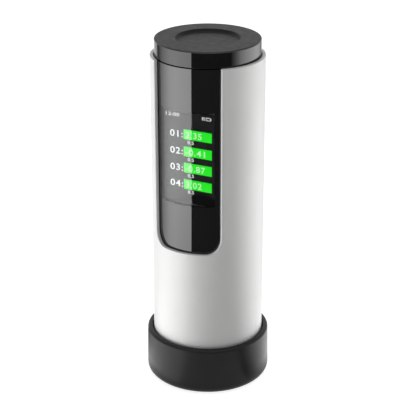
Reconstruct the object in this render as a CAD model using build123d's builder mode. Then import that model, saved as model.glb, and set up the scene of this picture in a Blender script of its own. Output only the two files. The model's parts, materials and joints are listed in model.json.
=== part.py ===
from build123d import *
from math import cos, radians, sin, sqrt
import os

# Pocket colour meter standing in its calibration dock, in millimetres.
# +Z is up and the display faces -Y; the origin is the centre of the dock's foot, on the table.

# Clearances
slip_gap = 0.1  # between rigid pieces that nest in one another
snug_gap = 0.05  # round magnets, screws and small pieces in their pockets
slide_gap = 0.15  # round the cap that slides in the sleeve
dock_gap = 0.3  # between the meter and the dock that it lifts out of
hole_overrun = 1.0  # how far a cut runs past the face that it opens

# Outside of the meter
overall_height = 99.0
sleeve_radius = 15.5
sleeve_wall = 1.0
sleeve_top = 94.6
notch_half_angle = 40.2
notch_bottom = 42.4
notch_corner = 4.4

# Dock
dock_height = 14.1
dock_rim_radius = 17.25
dock_foot_radius = 17.5
dock_foot_round = 2.0
dock_rim_round = 0.8
dock_rim_chamfer = 0.25
dock_floor = 1.8
foot_proud = 0.3
foot_thickness = 1.2
foot_inner_radius = 9.0
foot_outer_radius = 14.4
tile_radius = 9.3
tile_thickness = 2.5
tile_bevel = 0.3
tile_pad_thickness = 0.6
tile_lip = 0.5
tile_ring_wall = 1.9

# Magnets in the dock and in the bottom ring
magnet_radius = 1.25
magnet_thickness = 1.5
magnet_sink = 0.1
magnet_count = 3
pocket_wall = 0.2

# Bottom ring and aperture ring
flange_height = 1.0
spigot_height = 2.0
nose_radius = 8.4
nose_floor = 0.8
nose_flange_radius = 9.6
nose_flange_thickness = 0.6
port_radius = 4.0
port_bevel = 0.5
port_glass_radius = 5.6
port_glass_thickness = 0.6

# Screws
screw_radius = 0.6
screw_head_radius = 1.15
screw_head_height = 0.8
screw_slot = 0.35
ring_screw_length = 6.0
shell_screw_length = 9.0

# Shells
shell_wall = 2.0
shell_screw_heights = (47.5, 85.0)
shell_screw_offset = 10.3
shell_screw_seat = 6.5
boss_radius = 1.7

# Optics
sphere_radius = 8.6
sphere_port_rim = 0.3
sphere_roof = 1.2
block_gap = 0.2
board_thickness = 1.0
led_circle = 6.0
led_port_radius = 1.3
led_count = 6
led_side = 1.6
led_height = 0.8
barrel_radius = 3.2
barrel_bore = 2.2
barrel_collar_radius = 5.0
barrel_collar = 0.8
lens_radius = 2.6
lens_edge = 0.8
lens_dome = 0.6
lens_seat_depth = 2.4
shroud_wall = 1.3
spacer_length = 9.6
spacer_radius = 1.4
optics_screw_circle = 10.3
optics_screw_bite = 4.0
sensor_side = 4.4
sensor_height = 1.2
sensor_gap = 0.4

# Socket for the charging lead
usb_shelf_rise = 1.6
usb_shelf_width = 1.9
usb_board_front = 1.0
usb_width = 8.94
usb_height = 3.16
usb_length = 7.3
usb_wall = 0.3
usb_tongue_width = 6.7
usb_tongue_height = 0.7
usb_tongue_setback = 0.9
usb_sink = 0.25

# Main board and display
main_board_width = 22.0
main_board_front = 5.0
main_board_rise = 2.0
main_board_headroom = 0.2
board_rail_depth = 0.9
board_rail_reach = 0.9
lcd_face = 9.5
lcd_width = 17.7
lcd_height = 26.0
lcd_bottom = 55.0
lcd_thickness = 0.7
backlight_width = 17.6
backlight_thickness = 0.9
backlight_over = 0.6
backlight_under = 4.4
tray_wall = 0.6
tray_floor = 0.8
window_wall = 1.2
window_half_angle = 51.0
window_bottom = 39.5
window_corner = 3.0
connector_size = (9.0, 1.2, 2.5)
connector_drop = 1.0
flex_width = 8.0
flex_thickness = 0.15
flex_bend = 0.9
processor_side = 7.0
processor_height = 0.9
processor_drop = 1.2
radio_size = (10.0, 1.2, 7.0)
radio_drop = 2.0

# Battery
battery_radius = 7.0
battery_length = 43.0
battery_centre = 4.6
battery_rise = 1.7
battery_round = 0.6
battery_tip_radius = 2.5
battery_tip_height = 0.6
battery_pad_thickness = 0.6
battery_pad_half_angle = 30.0
cradle_thickness = 1.5
cradle_heights = (53.0, 78.0)

# Cap and switch
shell_drop = 0.3
seam_gap = 0.3
cap_travel = 0.25
cap_roof = 2.4
cap_edge_round = 0.3
dish_radius = 8.75
dish_depth = 0.8
dish_slope = 0.5
skirt_wall = 1.0
skirt_gap = 0.2
skirt_length = 3.5
guide_depth = 3.5
guide_step = 0.4
top_ledge_width = 1.4
top_ledge = 0.8
hook_angles = (-20, 90, 200)
hook_half_angle = 8.0
hook_height = 0.8
hook_reach = 0.7
hook_play = 0.1
switch_side = 6.0
switch_height = 3.2
plunger_radius = 1.7
plunger_top = 4.5
plunger_depth = 3.0
spring_radius = 5.4
spring_wire = 0.25
spring_turns = 3.5

# Radii and heights that follow from the sizes above
sleeve_bore = sleeve_radius - sleeve_wall
shell_radius = sleeve_bore - slip_gap
shell_bore = shell_radius - shell_wall
window_inner = shell_radius - window_wall
cap_radius = sleeve_bore - slide_gap
skirt_radius = window_inner - skirt_gap
dock_bore = sleeve_radius + dock_gap
floor_top = foot_proud + dock_floor
tile_base = floor_top + tile_pad_thickness
tile_top = tile_base + tile_thickness
tile_ring_radius = tile_radius + slip_gap + tile_ring_wall
ledge_bore = tile_ring_radius + slip_gap
seat_height = tile_top + tile_lip + dock_gap
magnet_circle = ledge_bore + pocket_wall + snug_gap + magnet_radius
sleeve_bottom = seat_height + flange_height
ring_top = sleeve_bottom + spigot_height
nose_bottom = tile_top + snug_gap
glass_base = nose_bottom + nose_floor
glass_top = glass_base + port_glass_thickness
flange_top = sleeve_bottom + nose_flange_thickness
sphere_height = glass_top + sphere_port_rim + sqrt(sphere_radius**2 - port_radius**2)
block_radius = shell_bore - block_gap
block_top = sphere_height + sphere_radius + sphere_roof
led_board_top = block_top + board_thickness
collar_top = led_board_top + barrel_collar
sensor_board_base = led_board_top + spacer_length
sensor_board_top = sensor_board_base + board_thickness
barrel_top = sensor_board_base - sensor_height - sensor_gap
usb_shelf = sensor_board_top + usb_shelf_rise
usb_board_base = usb_shelf + board_thickness
usb_base = usb_board_base + board_thickness
usb_mouth = sqrt(sleeve_radius**2 - usb_width**2 / 4) - usb_sink
shell_top = sleeve_top - shell_drop
guide_floor = shell_top - guide_depth
switch_board_top = guide_floor - guide_step
switch_board_base = switch_board_top - board_thickness
main_board_base = sensor_board_top + main_board_rise
main_board_top = switch_board_base - top_ledge - main_board_headroom
main_board_rear = main_board_front - board_thickness
lcd_top = lcd_bottom + lcd_height
lcd_rear = lcd_face - lcd_thickness
backlight_rear = lcd_rear - backlight_thickness
backlight_bottom = lcd_bottom - backlight_under
backlight_top = lcd_top + backlight_over
tray_half_width = backlight_width / 2 + slip_gap + tray_wall
tray_bottom = backlight_bottom - tray_wall
tray_top = backlight_top + tray_wall
connector_top = tray_bottom - connector_drop
processor_top = connector_top - connector_size[2] - processor_drop
battery_bottom = usb_base + usb_height + battery_rise
battery_top = battery_bottom + battery_length
cap_shoulder = shell_top + seam_gap
cap_ceiling = overall_height - cap_roof
dish_floor = overall_height - dish_depth
skirt_bottom = cap_shoulder - skirt_length
hook_top = skirt_bottom + hook_height
switch_top = switch_board_top + switch_height
plunger_head = switch_board_top + plunger_top
plunger_foot = plunger_head - plunger_depth

magnet_angles = [90 + step * 360 / magnet_count for step in range(magnet_count)]
ring_screw_angles = [30 + step * 360 / magnet_count for step in range(magnet_count)]
ring_screw_circle = shell_bore + shell_wall / 2


def radial_plane(angle):
    # upright plane through the Z axis: its x runs outwards at the angle and its y runs up
    outwards = (cos(radians(angle)), sin(radians(angle)), 0)
    sideways = (sin(radians(angle)), -cos(radians(angle)), 0)
    return Plane(origin=(0, 0, 0), x_dir=outwards, z_dir=sideways)


def band(inner, outer, low, high, start=0.0, arc=360.0):
    # ring or part of a ring round the Z axis, from one radius and height to another
    with BuildPart() as ring:
        with BuildSketch(radial_plane(start)) as profile:
            with Locations(((inner + outer) / 2, (low + high) / 2)):
                Rectangle(outer - inner, high - low)
        revolve(profile.sketch, axis=Axis.Z, revolution_arc=arc)
    return ring.part


def front_band(inner, outer, low, high, half_angle, corner):
    # part of a ring centred on -Y, with its two lower corners rounded
    with BuildPart() as panel:
        add(band(inner, outer, low, high, -90 - half_angle, 2 * half_angle))
        lower_edges = panel.faces().sort_by(Axis.Z)[0].edges()
        fillet(lower_edges.filter_by(GeomType.LINE), corner)
    return panel.part


def upright_screw(head_face, length):
    # screw along Z whose head's outer face is at head_face and whose shank goes up from there
    shank = length - screw_head_height
    with BuildPart() as screw:
        with BuildSketch(Plane.XY.offset(head_face)):
            Circle(screw_head_radius)
            Rectangle(screw_head_radius, screw_slot, mode=Mode.SUBTRACT)
        extrude(amount=screw_head_height / 2)
        with BuildSketch(Plane.XY.offset(head_face + screw_head_height / 2)):
            Circle(screw_head_radius)
        extrude(amount=screw_head_height / 2)
        with BuildSketch(Plane.XY.offset(head_face + screw_head_height)):
            Circle(screw_radius)
        extrude(amount=shank)
    return screw.part


os.makedirs("parts", exist_ok=True)

# Dock: cup with a ledge for the meter, and the white tile that it is calibrated on
with BuildPart() as dock_cup:
    with BuildSketch(Plane.XZ):
        with BuildLine():
            Polyline(
                (0, foot_proud),
                (dock_foot_radius, foot_proud),
                (dock_rim_radius, dock_height),
                (dock_bore, dock_height),
                (dock_bore, seat_height),
                (ledge_bore, seat_height),
                (ledge_bore, floor_top),
                (0, floor_top),
                close=True,
            )
        make_face()
    revolve(axis=Axis.Z)
    outer_wall = dock_cup.faces().filter_by(GeomType.CONE)
    fillet(outer_wall.edges().filter_by(GeomType.CIRCLE).sort_by(Axis.Z)[0], dock_foot_round)
    outer_wall = dock_cup.faces().filter_by(GeomType.CONE)
    fillet(outer_wall.edges().filter_by(GeomType.CIRCLE).sort_by(Axis.Z)[-1], dock_rim_round)
    bore_wall = dock_cup.faces().filter_by(GeomType.CYLINDER).sort_by(Axis.Z)[-1]
    chamfer(bore_wall.edges().filter_by(GeomType.CIRCLE).sort_by(Axis.Z)[-1], dock_rim_chamfer)
    add(
        band(
            foot_inner_radius - slip_gap,
            foot_outer_radius + slip_gap,
            foot_proud - hole_overrun,
            foot_thickness,
        ),
        mode=Mode.SUBTRACT,
    )
    with BuildSketch(Plane.XY.offset(seat_height)):
        with PolarLocations(magnet_circle, magnet_count, start_angle=magnet_angles[0]):
            Circle(magnet_radius + snug_gap)
    extrude(amount=-magnet_thickness - magnet_sink, mode=Mode.SUBTRACT)
dock_cup.part.label = "dock_cup"
export_step(dock_cup.part, "parts/dock_cup.step")

with BuildPart() as foot_ring:
    add(band(foot_inner_radius, foot_outer_radius, 0, foot_thickness))
    chamfer(foot_ring.faces().sort_by(Axis.Z)[0].edges(), foot_proud / 2)
foot_ring.part.label = "foot_ring"
export_step(foot_ring.part, "parts/foot_ring.step")

with BuildPart() as tile_pad:
    with BuildSketch(Plane.XY.offset(floor_top)):
        Circle(tile_radius)
    extrude(amount=tile_pad_thickness)
tile_pad.part.label = "tile_pad"
export_step(tile_pad.part, "parts/tile_pad.step")

with BuildPart() as white_tile:
    with BuildSketch(Plane.XY.offset(tile_base)):
        Circle(tile_radius)
    extrude(amount=tile_thickness)
    chamfer(white_tile.faces().sort_by(Axis.Z)[-1].edges(), tile_bevel)
white_tile.part.label = "white_tile"
export_step(white_tile.part, "parts/white_tile.step")

with BuildPart() as tile_ring:
    add(band(tile_radius + slip_gap, tile_ring_radius, floor_top, tile_top + tile_lip))
    add(band(tile_radius - tile_lip, tile_ring_radius, tile_top, tile_top + tile_lip))
    rim = tile_ring.faces().filter_by(Plane.XY).sort_by(Axis.Z)[-1]
    chamfer(rim.edges(), tile_lip / 3)
tile_ring.part.label = "tile_ring"
export_step(tile_ring.part, "parts/tile_ring.step")

with BuildPart() as dock_magnets:
    with BuildSketch(Plane.XY.offset(seat_height - magnet_sink)):
        with PolarLocations(magnet_circle, magnet_count, start_angle=magnet_angles[0]):
            Circle(magnet_radius)
    extrude(amount=-magnet_thickness)
dock_magnets.part.label = "dock_magnets"
export_step(dock_magnets.part, "parts/dock_magnets.step")

# Lower end of the meter: the ring that closes the sleeve, and the aperture ring in it
with BuildPart() as bottom_ring:
    add(band(nose_radius + slip_gap, sleeve_radius - slip_gap, seat_height, sleeve_bottom))
    chamfer(bottom_ring.edges().filter_by(GeomType.CIRCLE).group_by(Axis.Z)[0], pocket_wall)
    add(band(nose_flange_radius + slip_gap, shell_radius, sleeve_bottom, ring_top))
    with BuildSketch(Plane.XY.offset(seat_height)):
        with PolarLocations(magnet_circle, magnet_count, start_angle=magnet_angles[0]):
            Circle(magnet_radius + snug_gap)
    extrude(amount=magnet_thickness + magnet_sink, mode=Mode.SUBTRACT)
    with BuildSketch(Plane.XY.offset(seat_height)):
        with PolarLocations(ring_screw_circle, magnet_count, start_angle=ring_screw_angles[0]):
            Circle(screw_radius + snug_gap)
    extrude(amount=flange_height + spigot_height, mode=Mode.SUBTRACT)
    with BuildSketch(Plane.XY.offset(seat_height)):
        with PolarLocations(ring_screw_circle, magnet_count, start_angle=ring_screw_angles[0]):
            Circle(screw_head_radius + snug_gap)
    extrude(amount=screw_head_height + magnet_sink, mode=Mode.SUBTRACT)
bottom_ring.part.label = "bottom_ring"
export_step(bottom_ring.part, "parts/bottom_ring.step")

with BuildPart() as ring_magnets:
    with BuildSketch(Plane.XY.offset(seat_height + magnet_sink)):
        with PolarLocations(magnet_circle, magnet_count, start_angle=magnet_angles[0]):
            Circle(magnet_radius)
    extrude(amount=magnet_thickness)
ring_magnets.part.label = "ring_magnets"
export_step(ring_magnets.part, "parts/ring_magnets.step")

ring_screw = upright_screw(seat_height + magnet_sink, ring_screw_length)
with BuildPart() as ring_screws:
    with PolarLocations(ring_screw_circle, magnet_count, start_angle=ring_screw_angles[0]):
        add(ring_screw)
ring_screws.part.label = "ring_screws"
export_step(ring_screws.part, "parts/ring_screws.step")

with BuildPart() as aperture_ring:
    with BuildSketch(Plane.XZ):
        with BuildLine():
            Polyline(
                (port_radius, nose_bottom),
                (nose_radius, nose_bottom),
                (nose_radius, sleeve_bottom),
                (nose_flange_radius, sleeve_bottom),
                (nose_flange_radius, flange_top),
                (port_glass_radius + slip_gap, flange_top),
                (port_glass_radius + slip_gap, glass_base),
                (port_radius + port_bevel, glass_base),
                close=True,
            )
        make_face()
    revolve(axis=Axis.Z)
    chamfer(aperture_ring.faces().sort_by(Axis.Z)[0].edges().sort_by(SortBy.RADIUS)[-1], pocket_wall)
aperture_ring.part.label = "aperture_ring"
export_step(aperture_ring.part, "parts/aperture_ring.step")

with BuildPart() as port_glass:
    with BuildSketch(Plane.XY.offset(glass_base)):
        Circle(port_glass_radius)
    extrude(amount=port_glass_thickness)
port_glass.part.label = "port_glass"
export_step(port_glass.part, "parts/port_glass.step")

# Optics: the integrating sphere in two halves, its lamps, and the lens that looks into it
with BuildPart() as sphere_lower:
    neck_radius = port_glass_radius - slip_gap
    port_edge = (port_radius, glass_top + sphere_port_rim)
    equator_edge = (sphere_radius, sphere_height)
    with BuildSketch(Plane.XZ):
        with BuildLine():
            Polyline(
                port_edge,
                (port_radius, glass_top),
                (neck_radius, glass_top),
                (neck_radius, flange_top),
                (nose_flange_radius, flange_top),
                (nose_flange_radius, ring_top),
                (block_radius, ring_top),
                (block_radius, sphere_height),
                equator_edge,
            )
            RadiusArc(equator_edge, port_edge, sphere_radius)
        make_face()
    revolve(axis=Axis.Z)
sphere_lower.part.label = "sphere_lower"
export_step(sphere_lower.part, "parts/sphere_lower.step")

with BuildPart() as sphere_upper:
    with BuildSketch(Plane.XY.offset(sphere_height)):
        Circle(block_radius)
    extrude(until=None, amount=block_top - sphere_height)
    with Locations((0, 0, sphere_height)):
        Sphere(sphere_radius, mode=Mode.SUBTRACT)
    with BuildSketch(Plane.XY.offset(block_top)):
        Circle(barrel_bore)
        with PolarLocations(led_circle, led_count):
            Circle(led_port_radius)
    extrude(amount=sphere_height - block_top, mode=Mode.SUBTRACT)
    with BuildSketch(Plane.XY.offset(block_top)):
        with PolarLocations(optics_screw_circle, magnet_count, start_angle=magnet_angles[0]):
            Circle(screw_radius + snug_gap)
    extrude(amount=-optics_screw_bite - slip_gap, mode=Mode.SUBTRACT)
sphere_upper.part.label = "sphere_upper"
export_step(sphere_upper.part, "parts/sphere_upper.step")

with BuildPart() as led_board:
    with BuildSketch(Plane.XY.offset(block_top)):
        Circle(block_radius)
        Circle(barrel_radius + slip_gap, mode=Mode.SUBTRACT)
        with PolarLocations(optics_screw_circle, magnet_count, start_angle=magnet_angles[0]):
            Circle(screw_radius + snug_gap, mode=Mode.SUBTRACT)
    extrude(amount=board_thickness)
led_board.part.label = "led_board"
export_step(led_board.part, "parts/led_board.step")

with BuildPart() as leds:
    with BuildSketch(Plane.XY.offset(block_top)):
        with PolarLocations(led_circle, led_count):
            Rectangle(led_side, led_side)
    extrude(amount=-led_height)
leds.part.label = "leds"
export_step(leds.part, "parts/leds.step")

with BuildPart() as lens_barrel:
    add(band(barrel_bore, barrel_radius, block_top, barrel_top))
    add(band(barrel_bore, barrel_collar_radius, led_board_top, collar_top))
    add(
        band(0, lens_radius + snug_gap, barrel_top - lens_seat_depth, barrel_top + hole_overrun),
        mode=Mode.SUBTRACT,
    )
lens_barrel.part.label = "lens_barrel"
export_step(lens_barrel.part, "parts/lens_barrel.step")

with BuildPart() as lens:
    lens_base = barrel_top - lens_seat_depth
    with BuildSketch(Plane.XZ):
        with BuildLine():
            Polyline(
                (0, lens_base + lens_edge + lens_dome),
                (0, lens_base),
                (lens_radius, lens_base),
                (lens_radius, lens_base + lens_edge),
            )
            dome_radius = (lens_radius**2 + lens_dome**2) / (2 * lens_dome)
            RadiusArc(
                (0, lens_base + lens_edge + lens_dome),
                (lens_radius, lens_base + lens_edge),
                dome_radius,
            )
        make_face()
    revolve(axis=Axis.Z)
lens.part.label = "lens"
export_step(lens.part, "parts/lens.step")

with BuildPart() as light_shroud:
    shroud_bore = barrel_radius + slip_gap
    add(band(shroud_bore, shroud_bore + shroud_wall, collar_top, sensor_board_base))
light_shroud.part.label = "light_shroud"
export_step(light_shroud.part, "parts/light_shroud.step")

with BuildPart() as sensor_board:
    with BuildSketch(Plane.XY.offset(sensor_board_base)):
        Circle(block_radius)
        with PolarLocations(optics_screw_circle, magnet_count, start_angle=magnet_angles[0]):
            Circle(screw_radius + snug_gap, mode=Mode.SUBTRACT)
    extrude(amount=board_thickness)
sensor_board.part.label = "sensor_board"
export_step(sensor_board.part, "parts/sensor_board.step")

with BuildPart() as sensor_chip:
    with BuildSketch(Plane.XY.offset(sensor_board_base)):
        Rectangle(sensor_side, sensor_side)
    extrude(amount=-sensor_height)
sensor_chip.part.label = "sensor_chip"
export_step(sensor_chip.part, "parts/sensor_chip.step")

with BuildPart() as board_spacers:
    with BuildSketch(Plane.XY.offset(led_board_top)):
        with PolarLocations(optics_screw_circle, magnet_count, start_angle=magnet_angles[0]):
            Circle(spacer_radius)
            Circle(screw_radius + snug_gap, mode=Mode.SUBTRACT)
    extrude(amount=spacer_length)
board_spacers.part.label = "board_spacers"
export_step(board_spacers.part, "parts/board_spacers.step")

optics_screw_length = screw_head_height + sensor_board_top - block_top + optics_screw_bite
optics_screw = upright_screw(0, optics_screw_length)
with BuildPart() as optics_screws:
    optics_screw_top = sensor_board_top + screw_head_height
    with PolarLocations(optics_screw_circle, magnet_count, start_angle=magnet_angles[0]):
        with Locations(Location((0, 0, optics_screw_top), (180, 0, 0))):
            add(optics_screw)
optics_screws.part.label = "optics_screws"
export_step(optics_screws.part, "parts/optics_screws.step")

# Shells: one tube split down the sides, with a seat for the window and a guide for the cap
with BuildPart() as display_window:
    add(
        front_band(
            window_inner, shell_radius, window_bottom, shell_top, window_half_angle, window_corner
        )
    )
display_window.part.label = "display_window"
export_step(display_window.part, "parts/display_window.step")

with BuildPart() as shell_tube:
    seat_edge = slip_gap / shell_radius * 180 / 3.14159
    seat_half_angle = window_half_angle + seat_edge
    window_seat = front_band(
        window_inner - snug_gap,
        shell_radius + hole_overrun,
        window_bottom - slip_gap,
        shell_top + hole_overrun,
        seat_half_angle,
        window_corner,
    )
    add(band(shell_bore, shell_radius, ring_top, shell_top))
    add(band(shell_bore - top_ledge_width, shell_radius, switch_board_base - top_ledge, switch_board_base))
    add(band(0, window_inner, guide_floor, shell_top + hole_overrun), mode=Mode.SUBTRACT)
    add(window_seat, mode=Mode.SUBTRACT)
    for angle in hook_angles:
        slot_half_angle = hook_half_angle + seat_edge
        slot = band(
            shell_bore,
            shell_radius + hole_overrun,
            guide_floor,
            hook_top + hook_play,
            angle - slot_half_angle,
            2 * slot_half_angle,
        )
        add(slot, mode=Mode.SUBTRACT)
    with BuildSketch(Plane.XY.offset(ring_top)):
        with PolarLocations(ring_screw_circle, magnet_count, start_angle=ring_screw_angles[0]):
            Circle(screw_radius + snug_gap)
    extrude(amount=ring_screw_length - flange_height - spigot_height + slip_gap, mode=Mode.SUBTRACT)

with BuildPart() as front_shell:
    add(shell_tube.part)
    split(bisect_by=Plane.XZ, keep=Keep.TOP)
    # board rails and screw bosses are as wide as the bore, and are trimmed to the tube afterwards
    rail_height = main_board_top - main_board_base
    rail_front = main_board_front + snug_gap
    for side in (-1, 1):
        with BuildSketch(Plane.XY.offset(main_board_base)):
            with Locations((side * shell_bore, -rail_front - board_rail_depth / 2)):
                Rectangle(2 * (shell_bore - main_board_width / 2 + board_rail_reach), board_rail_depth)
        extrude(amount=rail_height)
        for height in shell_screw_heights:
            with BuildSketch(Plane.XZ):
                with Locations((side * shell_screw_offset, height)):
                    Circle(boss_radius)
            extrude(amount=main_board_rear - snug_gap)
    add(band(shell_radius, 2 * shell_radius, ring_top, shell_top), mode=Mode.SUBTRACT)
    add(window_seat, mode=Mode.SUBTRACT)
    with BuildSketch(Plane.XZ.offset(main_board_front)):
        with Locations((0, (tray_bottom + tray_top) / 2)):
            Rectangle(2 * (tray_half_width + slip_gap), tray_top - tray_bottom + 2 * slip_gap)
    extrude(amount=shell_radius, mode=Mode.SUBTRACT)
    with BuildSketch(Plane.XZ):
        for height in shell_screw_heights:
            with Locations((-shell_screw_offset, height), (shell_screw_offset, height)):
                Circle(screw_radius + snug_gap)
    extrude(amount=shell_screw_length - shell_screw_seat, mode=Mode.SUBTRACT)
front_shell.part.label = "front_shell"
export_step(front_shell.part, "parts/front_shell.step")

with BuildPart() as rear_shell:
    add(shell_tube.part)
    split(bisect_by=Plane.XZ, keep=Keep.BOTTOM)
    add(band(shell_bore - usb_shelf_width, shell_radius, usb_shelf, usb_board_base, 0, 180))
    for height in shell_screw_heights:
        with BuildSketch(Plane.XZ):
            with Locations((-shell_screw_offset, height), (shell_screw_offset, height)):
                Circle(boss_radius)
        extrude(amount=-shell_radius)
    for height in cradle_heights:
        with BuildSketch(Plane.XY.offset(height)):
            Circle(shell_radius)
            with Locations((0, battery_centre - shell_radius)):
                Rectangle(4 * shell_radius, 2 * shell_radius, mode=Mode.SUBTRACT)
            with Locations((0, battery_centre)):
                Circle(battery_radius + battery_pad_thickness + slip_gap, mode=Mode.SUBTRACT)
        extrude(amount=cradle_thickness)
    add(band(shell_radius, 2 * shell_radius, ring_top, shell_top), mode=Mode.SUBTRACT)
    with BuildSketch(Plane.XZ.offset(-shell_screw_seat)):
        for height in shell_screw_heights:
            with Locations((-shell_screw_offset, height), (shell_screw_offset, height)):
                Circle(screw_head_radius + snug_gap)
    extrude(amount=-shell_radius, mode=Mode.SUBTRACT)
    with BuildSketch(Plane.XZ):
        for height in shell_screw_heights:
            with Locations((-shell_screw_offset, height), (shell_screw_offset, height)):
                Circle(screw_radius + snug_gap)
    extrude(amount=-shell_screw_seat, mode=Mode.SUBTRACT)
    with BuildSketch(Plane.XZ):
        with Locations((0, usb_base + usb_height / 2)):
            RectangleRounded(
                usb_width + 2 * slip_gap, usb_height + 2 * slip_gap, usb_height / 2
            )
    extrude(amount=-shell_radius - hole_overrun, mode=Mode.SUBTRACT)
rear_shell.part.label = "rear_shell"
export_step(rear_shell.part, "parts/rear_shell.step")

shell_screw = upright_screw(0, shell_screw_length)
with BuildPart() as shell_screws:
    head_face = shell_screw_seat + screw_head_height
    for height in shell_screw_heights:
        for side in (-1, 1):
            with Locations(Location((side * shell_screw_offset, head_face, height), (90, 0, 0))):
                add(shell_screw)
shell_screws.part.label = "shell_screws"
export_step(shell_screws.part, "parts/shell_screws.step")

# Sleeve: the white tube, open at the front for the window and at the rear for the socket
notch = front_band(
    sleeve_bore - hole_overrun,
    sleeve_radius + hole_overrun,
    notch_bottom,
    sleeve_top + hole_overrun,
    notch_half_angle,
    notch_corner,
)
with BuildPart() as sleeve:
    add(band(sleeve_bore, sleeve_radius, sleeve_bottom, sleeve_top))
    add(notch, mode=Mode.SUBTRACT)
    with BuildSketch(Plane.XZ):
        with Locations((0, usb_base + usb_height / 2)):
            RectangleRounded(
                usb_width + 2 * slip_gap, usb_height + 2 * slip_gap, usb_height / 2
            )
    extrude(amount=-sleeve_radius - hole_overrun, mode=Mode.SUBTRACT)
sleeve.part.label = "sleeve"
export_step(sleeve.part, "parts/sleeve.step")

# Charging socket on its own board
with BuildPart() as usb_board:
    with BuildSketch(Plane.XY.offset(usb_board_base)):
        Circle(block_radius)
        with Locations((0, usb_board_front - block_radius)):
            Rectangle(2 * block_radius, 2 * block_radius, mode=Mode.SUBTRACT)
    extrude(amount=board_thickness)
usb_board.part.label = "usb_board"
export_step(usb_board.part, "parts/usb_board.step")

with BuildPart() as usb_port:
    port_height = usb_base + usb_height / 2
    with BuildSketch(Plane.XZ.offset(-usb_mouth)):
        with Locations((0, port_height)):
            RectangleRounded(usb_width, usb_height, usb_height / 2 - snug_gap)
    extrude(amount=usb_length)
    with BuildSketch(Plane.XZ.offset(-usb_mouth)):
        with Locations((0, port_height)):
            RectangleRounded(
                usb_width - 2 * usb_wall,
                usb_height - 2 * usb_wall,
                usb_height / 2 - usb_wall - snug_gap,
            )
    extrude(amount=usb_length - usb_wall, mode=Mode.SUBTRACT)
    with BuildSketch(Plane.XZ.offset(usb_length - usb_mouth)):
        with Locations((0, port_height)):
            Rectangle(usb_tongue_width, usb_tongue_height)
    extrude(amount=usb_tongue_setback - usb_length)
usb_port.part.label = "usb_port"
export_step(usb_port.part, "parts/usb_port.step")

# Main board with what is soldered to it
with BuildPart() as main_board:
    with BuildSketch(Plane.XZ.offset(main_board_rear)):
        with Locations((0, (main_board_base + main_board_top) / 2)):
            Rectangle(main_board_width, main_board_top - main_board_base)
    extrude(amount=board_thickness)
main_board.part.label = "main_board"
export_step(main_board.part, "parts/main_board.step")

with BuildPart() as processor:
    with BuildSketch(Plane.XZ.offset(main_board_front)):
        with Locations((0, processor_top - processor_side / 2)):
            Rectangle(processor_side, processor_side)
    extrude(amount=processor_height)
processor.part.label = "processor"
export_step(processor.part, "parts/processor.step")

with BuildPart() as radio_module:
    with BuildSketch(Plane.XZ.offset(main_board_rear)):
        with Locations((0, main_board_top - radio_drop - radio_size[2] / 2)):
            Rectangle(radio_size[0], radio_size[2])
    extrude(amount=-radio_size[1])
radio_module.part.label = "radio_module"
export_step(radio_module.part, "parts/radio_module.step")

with BuildPart() as flex_connector:
    with BuildSketch(Plane.XZ.offset(main_board_front)):
        with Locations((0, connector_top - connector_size[2] / 2)):
            Rectangle(connector_size[0], connector_size[2])
    extrude(amount=connector_size[1])
flex_connector.part.label = "flex_connector"
export_step(flex_connector.part, "parts/flex_connector.step")

# Display: a tray on the main board carries the backlight, and the LCD lies on that
with BuildPart() as display_tray:
    with BuildSketch(Plane.XZ.offset(main_board_front)):
        with Locations((0, (tray_bottom + tray_top) / 2)):
            Rectangle(2 * tray_half_width, tray_top - tray_bottom)
    extrude(amount=backlight_rear - main_board_front)
    with BuildSketch(Plane.XZ.offset(main_board_front)):
        with Locations((0, (tray_bottom + tray_top) / 2)):
            Rectangle(2 * (tray_half_width - tray_wall), tray_top - tray_bottom - 2 * tray_wall)
    extrude(amount=backlight_rear - main_board_front - tray_floor, mode=Mode.SUBTRACT)
display_tray.part.label = "display_tray"
export_step(display_tray.part, "parts/display_tray.step")

with BuildPart() as backlight:
    with BuildSketch(Plane.XZ.offset(backlight_rear)):
        with Locations((0, (backlight_bottom + backlight_top) / 2)):
            Rectangle(backlight_width, backlight_top - backlight_bottom)
    extrude(amount=backlight_thickness)
backlight.part.label = "backlight"
export_step(backlight.part, "parts/backlight.step")

with BuildPart() as lcd_panel:
    with BuildSketch(Plane.XZ.offset(lcd_rear)):
        with Locations((0, (lcd_bottom + lcd_top) / 2)):
            Rectangle(lcd_width, lcd_height)
    extrude(amount=lcd_thickness)
lcd_panel.part.label = "lcd_panel"
export_step(lcd_panel.part, "parts/lcd_panel.step")

with BuildPart() as flex_cable:
    # from the backlight's foot, down past the tray and back to the connector on the main board
    flex_start = backlight_rear + backlight_thickness / 2
    flex_end = main_board_front + connector_size[1] / 2
    flex_low = connector_top - connector_size[2] / 2
    with BuildLine() as flex_path:
        FilletPolyline(
            (0, -flex_start, backlight_bottom),
            (0, -flex_start, flex_low),
            (0, -main_board_front - connector_size[1], flex_low),
            radius=flex_bend,
        )
    with BuildSketch(Plane.XY.offset(backlight_bottom)):
        with Locations((0, -flex_start)):
            Rectangle(flex_width, flex_thickness)
    sweep(path=flex_path.line)
flex_cable.part.label = "flex_cable"
export_step(flex_cable.part, "parts/flex_cable.step")

# Battery cell on its foam pad
with BuildPart() as battery:
    with BuildSketch(Plane.XY.offset(battery_bottom)):
        with Locations((0, battery_centre)):
            Circle(battery_radius)
    extrude(amount=battery_length)
    fillet(battery.edges().filter_by(GeomType.CIRCLE), battery_round)
    with BuildSketch(Plane.XY.offset(battery_top)):
        with Locations((0, battery_centre)):
            Circle(battery_tip_radius)
    extrude(amount=battery_tip_height)
battery.part.label = "battery"
export_step(battery.part, "parts/battery.step")

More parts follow.
